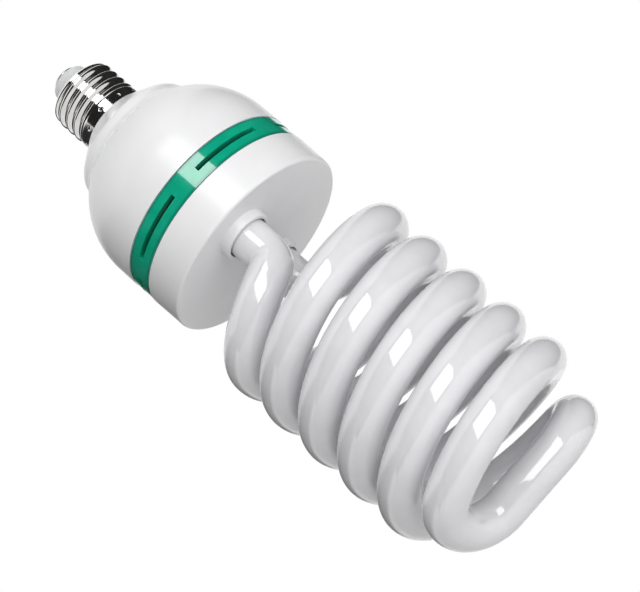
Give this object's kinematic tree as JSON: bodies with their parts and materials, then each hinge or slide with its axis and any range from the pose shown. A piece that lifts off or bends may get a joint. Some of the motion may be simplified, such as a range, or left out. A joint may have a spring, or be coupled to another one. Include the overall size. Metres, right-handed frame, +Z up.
{
  "type": "spiral energy saving bulb",
  "caption": "Screw-cap lamp with a white spiral glass tube, a domed white housing and a clear green slotted ring.",
  "frame": {"origin": "middle of the end contact's face, where the lamp meets the holder's contact", "axes": "+Z up out of the cap along the lamp's axis, so the lamp hangs below the origin; the tube's two legs stand on the Y axis"},
  "size_m": [0.08, 0.08, 0.2267],
  "materials": {
    "nickel": "bright plated nickel",
    "insulator": "smooth white moulded insulator",
    "contact_metal": "bright",
    "solder": "bright solder",
    "housing": "glossy white plastic",
    "ring": "clear tinted green plastic",
    "tube": "glossy glass coated white inside",
    "cement": "dull white cement",
    "board": "plain laminate",
    "can": "dark sleeve",
    "ferrite": "dull dark ferrite",
    "bobbin": "moulded spool",
    "copper": "enamelled copper wire",
    "sink": "plain aluminium",
    "steel": "plated steel",
    "package": "moulded case on a metal tab",
    "film": "dipped film capacitor",
    "disc": "dipped disc",
    "diode": "moulded body",
    "resistor": "painted body",
    "fuse": "moulded body",
    "tinned_wire": "tinned wire",
    "sleeve_wire": "sleeved wire"
  },
  "bodies": {
    "root": {"base_resistor_1": "resistor", "base_resistor_2": "resistor", "bulk_capacitor_a": "can", "bulk_capacitor_b": "can", "cap_insulator": "insulator", "centre_contact": "contact_metal", "choke_bobbin": "bobbin", "choke_core": "ferrite", "choke_winding": "copper", "circuit_board": "board", "contact_solder": "solder", "coupling_capacitor": "film", "drive_toroid": "ferrite", "drive_winding": "copper", "electrode_lead_1": "tinned_wire", "electrode_lead_2": "tinned_wire", "electrode_lead_3": "tinned_wire", "electrode_lead_4": "tinned_wire", "filter_core": "ferrite", "filter_winding": "copper", "heat_sink": "sink", "heat_sink_screws": "steel", "leg_cement": "cement", "line_fuse": "fuse", "live_lead": "sleeve_wire", "lower_housing": "housing", "neutral_lead": "sleeve_wire", "rectifier_diode_1": "diode", "rectifier_diode_2": "diode", "rectifier_diode_3": "diode", "rectifier_diode_4": "diode", "resonant_capacitor": "film", "screw_shell": "nickel", "spiral_tube": "tube", "thermistor": "disc", "transistor_a": "package", "transistor_b": "package", "upper_housing": "housing", "vent_ring": "ring", "wrap_pins": "tinned_wire"}
  },
  "joints": []
}
